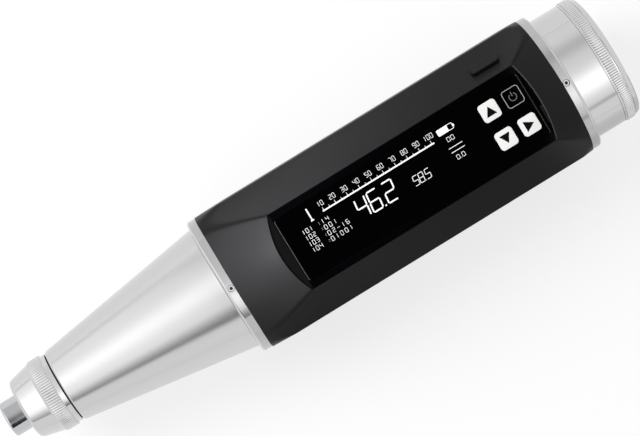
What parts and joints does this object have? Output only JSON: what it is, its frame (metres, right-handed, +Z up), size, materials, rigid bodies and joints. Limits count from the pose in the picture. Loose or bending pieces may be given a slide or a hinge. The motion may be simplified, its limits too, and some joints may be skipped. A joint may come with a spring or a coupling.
{
  "type": "concrete test hammer",
  "caption": "Handheld concrete rebound hammer with plunger, tapered metal nose, faceted black grip, display panel with keys, knurled caps and its spring mechanism inside.",
  "frame": {"origin": "middle of the flat back of the tool's box, on the surface it lies on", "axes": "+X along the tool's axis from nose to rear cap, +Y towards the data socket, +Z up out of the display"},
  "size_m": [0.28, 0.06, 0.0635],
  "materials": {
    "turned_aluminium": "fine turned, bright",
    "anodised_aluminium": "satin",
    "hardened_steel": "ground and polished",
    "steel": "machined",
    "dark_steel": "blackened",
    "spring_steel": "drawn wire",
    "brass": "machined",
    "felt": "felt",
    "grip_plastic": "fine satin grain",
    "gloss_black": "gloss",
    "white_key": "satin",
    "black_rubber": "soft matte",
    "board_green": "solder mask",
    "rider_plastic": "satin",
    "cell_wrap": "wrapped",
    "plated_shell": "plated"
  },
  "bodies": {
    "housing": {"nose_cap": "turned_aluminium", "felt_washer": "felt", "split_ring": "steel", "guide_sleeve": "brass", "nose_cone": "turned_aluminium", "front_collar": "turned_aluminium", "rear_collar": "turned_aluminium", "collar_screws": "steel", "grip_housing": "grip_plastic", "display_panel": "gloss_black", "display_module": "gloss_black", "circuit_board": "board_green", "key_switches": "rider_plastic", "usb_socket": "plated_shell", "battery": "cell_wrap", "inner_tube": "anodised_aluminium", "rear_barrel": "turned_aluminium", "rear_cap": "turned_aluminium", "trip_screw": "dark_steel", "trip_lock_nut": "steel", "pressure_spring": "spring_steel", "impact_spring": "spring_steel", "rider_rod": "hardened_steel", "sensor_strip": "board_green", "lock_spring": "spring_steel"},
    "carriage": {"impact_plunger": "hardened_steel", "cushion_spring": "spring_steel", "guide_disk": "steel", "guide_bar": "hardened_steel", "disk_pin": "hardened_steel", "pawl_pin": "hardened_steel", "pawl_spring": "spring_steel"},
    "hammer": {"hammer_mass": "steel"},
    "pawl": {"pawl": "steel"},
    "rider": {"rider": "rider_plastic"},
    "lock_button": {"lock_button": "grip_plastic"},
    "up_key": {"up_key": "white_key"},
    "down_key": {"down_key": "white_key"},
    "right_key": {"right_key": "white_key"},
    "power_key": {"power_key": "gloss_black"},
    "usb_plug": {"usb_plug": "black_rubber"}
  },
  "joints": [
    {"name": "plunger_slide", "type": "slide", "parent": "housing", "child": "carriage", "axis": [-1, 0, 0], "range_m": [0, 0.075], "deforming": ["pressure_spring", "impact_spring"]},
    {"name": "hammer_slide", "type": "slide", "parent": "housing", "child": "hammer", "axis": [-1, 0, 0], "range_m": [0, 0.075], "deforming": ["impact_spring"]},
    {"name": "pawl_hinge", "type": "hinge", "parent": "carriage", "child": "pawl", "pos_m": [0.104, 0, 0.041], "axis": [0, 1, 0], "range_deg": [0, 15], "stiffness_Nm_per_rad": 0.02, "springref_deg": -8.59, "deforming": ["pawl_spring"]},
    {"name": "rider_slide", "type": "slide", "parent": "housing", "child": "rider", "axis": [1, 0, 0], "range_m": [0, 0.075]},
    {"name": "lock_button_press", "type": "slide", "parent": "housing", "child": "lock_button", "axis": [0, 0.8305, 0.5571], "range_m": [0, 0.0012], "stiffness_N_per_m": 900, "springref_m": -0.0008, "deforming": ["lock_spring"]},
    {"name": "up_key_press", "type": "slide", "parent": "housing", "child": "up_key", "axis": [0, 0, -1], "range_m": [0, 0.0005], "stiffness_N_per_m": 1500, "springref_m": -0.0004},
    {"name": "down_key_press", "type": "slide", "parent": "housing", "child": "down_key", "axis": [0, 0, -1], "range_m": [0, 0.0005], "stiffness_N_per_m": 1500, "springref_m": -0.0004},
    {"name": "right_key_press", "type": "slide", "parent": "housing", "child": "right_key", "axis": [0, 0, -1], "range_m": [0, 0.0005], "stiffness_N_per_m": 1500, "springref_m": -0.0004},
    {"name": "power_key_press", "type": "slide", "parent": "housing", "child": "power_key", "axis": [0, 0, -1], "range_m": [0, 0.0005], "stiffness_N_per_m": 1500, "springref_m": -0.0004},
    {"name": "usb_plug_pull", "type": "slide", "parent": "housing", "child": "usb_plug", "axis": [0, 0.8305, 0.5571], "range_m": [0, 0.012]}
  ],
  "couplings": [
    {"joint": "hammer_slide", "follows": "plunger_slide", "ratio": 1}
  ]
}
